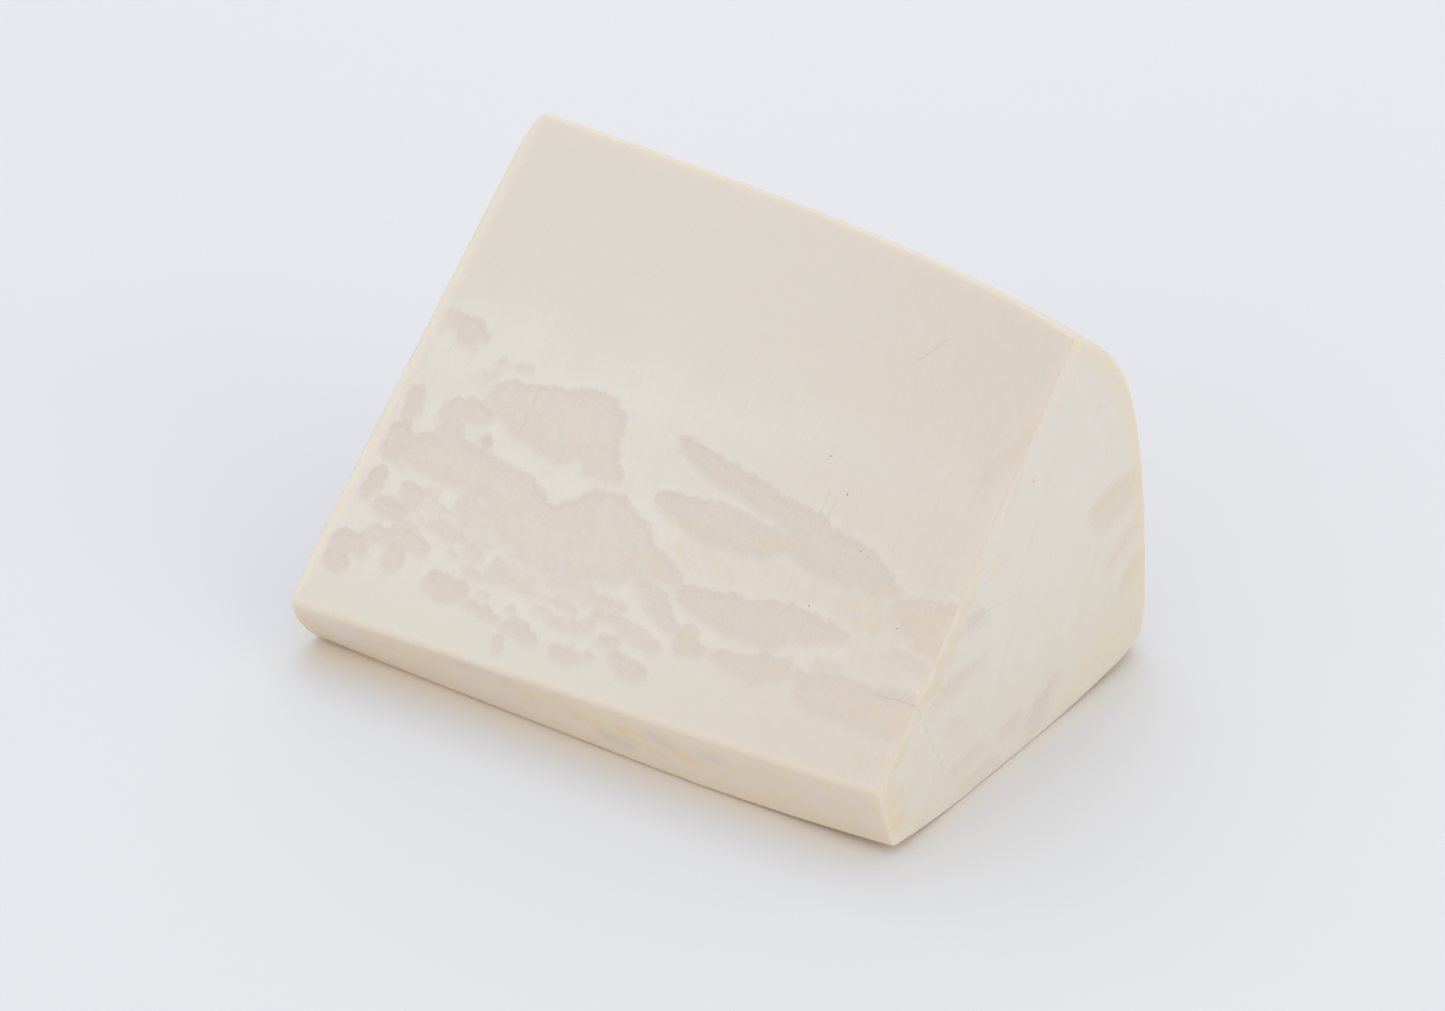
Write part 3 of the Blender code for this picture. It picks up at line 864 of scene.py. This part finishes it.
def paint_left_edge_light(nodes, colour, mm):
    """A painted highlight at the slope's left edge, with a painted yellow glow in places."""
    gap = nodes.plus(nodes.field("left_gap"), nodes.times(nodes.wander(mm, 0.5, 2.0), 1.6))
    slope = nodes.field("slope")
    # Painted highlight: a pale band near the left edge.
    colour = nodes.mix(nodes.times(nodes.ramp(gap, 2.2, 0.8), slope, 0.75), colour, EDGE_HIGHLIGHT)
    patchy = nodes.ramp(nodes.noise(mm, 0.22, 2.0), 0.40, 0.58, 0.25, 1.0)
    # Painted yellow glow of light through the thin edge, in patches.
    return nodes.mix(nodes.times(nodes.ramp(gap, 1.2, 0.3), slope, patchy, 0.55), colour, YELLOW_TINT_AND_GLOW)


def paint_end_edges(nodes, colour, mm):
    """Yellow below the ridge, painted glow on the rims, and painted highlight and painted shade on the
    ridge.
    """
    slope, right_end, up_slope = nodes.field("slope"), nodes.field("right_end"), nodes.field("up_slope")
    wander = nodes.wander(mm, 0.5, 2.0)
    ridge_gap = nodes.plus(nodes.field("ridge_gap"), nodes.times(wander, 0.5))
    rim_gap = nodes.plus(nodes.field("rim_gap"), nodes.times(wander, 2.4))
    patchy = nodes.ramp(nodes.noise(mm, 0.35, 2.0), 0.36, 0.60)
    low = nodes.ramp(up_slope, 36.0, 20.0, 0.2, 1.0)
    yellow_side = nodes.times(nodes.ramp(ridge_gap, -1.9, -0.5), right_end, patchy, low, 0.5)
    colour = nodes.mix(yellow_side, colour, ORANGE)
    # Painted yellow glow of light through the thin rims of the right end and the slope's top edge.
    rim = nodes.times(nodes.ramp(rim_gap, 3.6, 0.0), right_end, 0.5)
    top_rim = nodes.times(slope, nodes.field("back"), 2.4)
    colour = nodes.mix(nodes.math("MAXIMUM", rim, top_rim), colour, YELLOW_TINT_AND_GLOW)
    on_ridge = nodes.math("MAXIMUM", slope, right_end)
    on_ridge = nodes.times(nodes.band(nodes.field("ridge_gap"), 0.05, 0.6), on_ridge)
    # Painted highlight on the ridge's lower part, then painted shade over the ridge to dull its lit
    # rounding.
    colour = nodes.mix(nodes.times(on_ridge, low, 0.6), colour, PALE_WAVE_AND_HIGHLIGHT)
    return nodes.lighten(colour, nodes.times(on_ridge, -0.15)), on_ridge


def paint_end(nodes, colour, mm):
    """The right end's yellowish foot, grey streaks and pale growth waves."""
    right_end = nodes.field("right_end")
    colour = nodes.mix(right_end, colour, END_IVORY)
    foot = nodes.ramp(nodes.axis(mm, "Z"), 25.0, 7.0)
    mottle = nodes.ramp(nodes.noise(mm, 0.22, 3.0), 0.34, 0.62, 0.4, 1.0)
    colour = nodes.mix(nodes.times(right_end, foot, mottle, 0.55), colour, END_FOOT)
    backwards = nodes.ramp(nodes.axis(mm, "Y"), 0.0, 20.0)
    colour = nodes.mix(nodes.times(right_end, foot, backwards, 0.6), colour, END_FOOT)
    streaks = nodes.noise(nodes.scaled(nodes.tilted(mm, STREAK_LEAN), 0.5, 0.55, 0.07), 1.0, 3.0, 0.6, 0.4)
    colour = nodes.mix(nodes.times(nodes.ramp(streaks, 0.55, 0.75), right_end, 0.3), colour, GREY)
    growth = nodes.add("CombineXYZ", {0: nodes.field("rim_gap"), 1: 0.0, 2: 0.0})
    growth = nodes.add("VectorMath", {0: growth, 1: nodes.scaled(mm, 0.07, 0.07, 0.07)}, operation="ADD")
    waves = nodes.ramp(nodes.noise(growth, 0.9, 1.0), 0.52, 0.66)
    near_rim = nodes.ramp(nodes.field("rim_gap"), 14.0, 8.0)
    return nodes.mix(nodes.times(waves, near_rim, right_end, 0.45), colour, PALE_WAVE_AND_HIGHLIGHT)


def paint_strip(nodes, colour, mm):
    """The strip below the slope is tan, with yellow-brown, milky and grey streaks along its length."""
    strip = nodes.field("strip")
    drawn = nodes.noise(nodes.scaled(mm, 0.3, 0.7, 0.7), 1.0, 2.0, 0.5)
    colour = nodes.mix(nodes.times(strip, 0.85), colour, TAN)
    colour = nodes.mix(nodes.times(strip, nodes.ramp(drawn, 0.40, 0.66), 0.2), colour, TAN_YELLOW)
    yellow = nodes.times(strip, nodes.field("streak"), nodes.ramp(drawn, 0.28, 0.62, 0.2, 1.0))
    colour = nodes.mix(yellow, colour, TAN_YELLOW)
    milky = nodes.times(strip, nodes.field("milk"), nodes.ramp(drawn, 0.70, 0.36, 0.2, 1.0))
    colour = nodes.mix(milky, colour, TAN_PALE)
    grey = nodes.times(strip, nodes.field("shade"), nodes.ramp(drawn, 0.25, 0.60, 0.3, 0.8))
    return nodes.mix(grey, colour, GREY)


def hidden_colour(nodes, mm):
    """The sides away from view: faintly marbled faces, and the clouded outer surface with its long grain."""
    patches = nodes.ramp(nodes.noise(mm, 0.12, 4.0, 0.55, 0.4), 0.47, 0.64)
    marbled = nodes.mix(nodes.ramp(nodes.noise(mm, 0.4, 2.0), 0.35, 0.65), IVORY, NET)
    marbled = nodes.mix(nodes.times(patches, 0.5), marbled, MAUVE)
    clouds = nodes.noise(nodes.scaled(mm, 0.05, 0.12, 0.12), 1.0, 3.0, 0.5)
    grain = nodes.noise(nodes.scaled(mm, 0.04, 1.1, 1.1), 1.0, 4.0, 0.65, 0.3)
    bark = nodes.mix(nodes.ramp(clouds, 0.35, 0.65), IVORY_LOW, BARK)
    bark = nodes.mix(nodes.times(nodes.ramp(grain, 0.48, 0.75), 0.25), bark, BARK_DARK)
    return nodes.mix(nodes.field("back"), marbled, bark)


def paint_specks(nodes, colour, mm):
    """Pinhead specks of dark dirt, and a pink one."""
    spots = [(on_slope(x, v), radius, speck) for x, v, radius, speck in SLOPE_SPECKS]
    spots += [((LENGTH - CENTRE[0], y, z), radius, speck) for y, z, radius, speck in END_SPECKS]
    for place, radius, speck in spots:
        gap = nodes.add("VectorMath", {0: mm, 1: place}, output="Value", operation="DISTANCE")
        colour = nodes.mix(nodes.ramp(gap, radius * 1.4, radius * 0.4), colour, speck)
    return colour


def painted_colour(nodes, mm, slope_mm):
    """The colour with all its marks, painted highlights, shade and glow, and how much a point is on the
    ridge.
    """
    comb = nodes.noise(nodes.scaled(nodes.tilted(mm, -COMB_TILT), 0.5, 0.2, 1.9), 1.0, 3.0, 0.6)
    colour = ground_colour(nodes, mm, slope_mm)
    colour = paint_end(nodes, colour, mm)
    colour = paint_left_edge_light(nodes, colour, mm)
    colour = paint_patches(nodes, colour, slope_mm, comb)
    colour = paint_tints(nodes, colour, slope_mm, comb)
    colour, on_ridge = paint_end_edges(nodes, colour, mm)
    colour = paint_strip(nodes, colour, mm)
    in_view = nodes.plus(nodes.field("slope"), nodes.field("strip"), nodes.field("right_end"))
    return nodes.mix(in_view, hidden_colour(nodes, mm), colour), on_ridge


def crack_mask(nodes, mm):
    across = nodes.plus(nodes.field("crack"), nodes.times(nodes.wander(mm, 1.2, 3.0), CRACK_WANDER))
    return nodes.times(nodes.band(across, 0.0, CRACK_WIDTH), nodes.field("crack_strength"))


def relief(nodes, mm, dark, faint, crack):
    """The surface's normal: grinding lines and cracks cut in, and fine grit."""
    grit = nodes.noise(mm, 5.0, 3.0, 0.6)
    cuts = nodes.plus(nodes.times(dark, -0.5), nodes.times(faint, 0.25), nodes.times(grit, 0.12))
    height = nodes.plus(cuts, nodes.times(crack, -1.6))
    inputs = {"Height": height, "Distance": RELIEF_DEPTH, "Strength": 1.0}
    return nodes.add("Bump", inputs, output="Normal")


def ivory_material():
    material = bpy.data.materials.new("mammoth_ivory")
    material.use_nodes = True
    nodes = Nodes(material)
    mm = nodes.scaled(nodes.add("TexCoord", {}, output="Object"), 1 / MM, 1 / MM, 1 / MM)
    slope_mm = nodes.tilted(mm, -SLOPE_ANGLE)
    dark, pale, faint = grinding_lines(nodes, slope_mm)
    crack = crack_mask(nodes, mm)

    colour, on_ridge = painted_colour(nodes, mm, slope_mm)
    lines = nodes.minus(nodes.times(pale, 0.035), nodes.times(dark, 0.055))
    lines = nodes.times(nodes.field("slope"), nodes.plus(lines, nodes.times(faint, 0.03)))
    mottle = nodes.times(nodes.wander(mm, 1.9, 4.0, 0.7), 0.03)
    colour = nodes.lighten(colour, nodes.plus(lines, mottle))
    colour = nodes.mix(nodes.times(crack, 0.7), colour, CRACK_DARK)
    smears = nodes.ramp(nodes.noise(mm, 0.45, 4.0, 0.6, 0.8), 0.3, 0.7, 0.30, 0.42)

    shader = material.node_tree.nodes["Principled BSDF"]
    inputs = {
        "Base Color": paint_specks(nodes, colour, mm),
        "Roughness": nodes.plus(smears, nodes.times(dark, 0.06)),
        "Specular IOR Level": nodes.minus(0.5, nodes.times(on_ridge, 0.35)),
        "Normal": relief(nodes, mm, dark, faint, crack),
    }
    for name, output in inputs.items():
        material.node_tree.links.new(output, shader.inputs[name])
    shader.inputs["IOR"].default_value = IVORY_IOR
    shader.inputs["Subsurface Weight"].default_value = SCATTER_WEIGHT
    shader.inputs["Subsurface Radius"].default_value = SCATTER_COLOURS
    shader.inputs["Subsurface Scale"].default_value = SCATTER_REACH
    return material


# The piece, the camera and the studio


def make_ivory_piece():
    points, faces, sides, ends = build_skin()
    mesh = bpy.data.meshes.new("ivory_skin")
    mesh.from_pydata((points * MM).tolist(), [], faces)
    surface = bmesh.new()
    surface.from_mesh(mesh)
    bmesh.ops.recalc_face_normals(surface, faces=surface.faces)
    surface.to_mesh(mesh)
    surface.free()
    mesh.shade_smooth()
    store_fields(mesh, surface_fields(points, sides, ends))
    mesh.materials.append(ivory_material())
    piece = bpy.data.objects.new("ivory_skin", mesh)
    bpy.context.scene.collection.objects.link(piece)
    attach(piece, "root")
    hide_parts("ivory_block")


CAMERA_AZIMUTH = math.radians(34.31)
CAMERA_ELEVATION = math.radians(28.43)
CAMERA_PLACE = Vector((0.240254, -0.352264, 0.246977))
LENS = 120.0
SENSOR = 36.0

FLOOR_SIZE = 6.0
FLOOR_DROP = 0.00002
FLOOR_COLOUR = srgb(219, 220, 226)
# Painted warm light in the piece's shade on the floor: a warmer tone near it, and a warm glow where it
# nearly touches.
FLOOR_PAINTED_WARMTH = srgb(222, 219, 220)
FLOOR_PAINTED_GLOW = srgb(250, 230, 204)
PAINTED_GLOW_REACH = 0.006
WORLD_COLOUR = (0.986, 1.0, 0.978, 1.0)
WORLD_STRENGTH = 0.98
# Each soft light's place and size in metres, its power in watts and its colour.
LIGHTS = {
    "back_left": ((-0.5, 0.8, 0.8), 1.2, 2.1, (0.72, 0.77, 1.0)),
    "right_fill": ((1.1, -0.15, 0.35), 1.0, 2.9, (1.0, 0.86, 0.65)),
    "front_fill": ((-0.1, -1.2, 0.22), 1.2, 2.3, (1.0, 0.97, 1.0)),
}


def place_facing(thing, place, backwards):
    thing.location = place
    thing.rotation_mode = "QUATERNION"
    thing.rotation_quaternion = (-backwards).to_track_quat("-Z", "Y")
    bpy.context.scene.collection.objects.link(thing)


def make_camera():
    data = bpy.data.cameras.new("camera")
    data.lens = LENS
    data.sensor_width = SENSOR
    data.clip_start = 0.01
    data.clip_end = 20.0
    camera = bpy.data.objects.new("camera", data)
    across = math.cos(CAMERA_ELEVATION)
    backwards = Vector(
        (math.sin(CAMERA_AZIMUTH) * across, -math.cos(CAMERA_AZIMUTH) * across, math.sin(CAMERA_ELEVATION))
    )
    place_facing(camera, CAMERA_PLACE, backwards)
    bpy.context.scene.camera = camera


def floor_material():
    """A pale floor, painted warmer and lighter where the piece nearly touches it, for light through the
    ivory.
    """
    material = bpy.data.materials.new("floor")
    material.use_nodes = True
    nodes = Nodes(material)
    shader = material.node_tree.nodes["Principled BSDF"]
    openness = nodes.add("AmbientOcclusion", {"Distance": PAINTED_GLOW_REACH}, output="AO", samples=4)
    # Painted warm light in the floor's shade near the piece.
    colour = nodes.mix(nodes.ramp(openness, 0.95, 0.50), FLOOR_COLOUR, FLOOR_PAINTED_WARMTH)
    colour = nodes.mix(nodes.ramp(openness, 0.40, 0.10), colour, FLOOR_PAINTED_GLOW)
    material.node_tree.links.new(colour, shader.inputs["Base Color"])
    shader.inputs["Roughness"].default_value = 0.6
    return material


def make_floor():
    bpy.ops.mesh.primitive_plane_add(size=FLOOR_SIZE, location=(0.0, 0.0, -FLOOR_DROP))
    floor = bpy.context.object
    floor.name = "floor"
    floor.data.materials.append(floor_material())


def make_light():
    world = bpy.data.worlds.new("studio")
    world.use_nodes = True
    background = world.node_tree.nodes["Background"]
    background.inputs["Color"].default_value = WORLD_COLOUR
    background.inputs["Strength"].default_value = WORLD_STRENGTH
    bpy.context.scene.world = world
    bpy.context.scene.view_settings.view_transform = "Standard"
    for name, (place, size, power, colour) in LIGHTS.items():
        data = bpy.data.lights.new(name, "AREA")
        data.shape = "DISK"
        data.size = size
        data.energy = power
        data.color = colour
        place_facing(bpy.data.objects.new(name, data), place, Vector(place))


make_ivory_piece()
make_camera()
make_floor()
make_light()
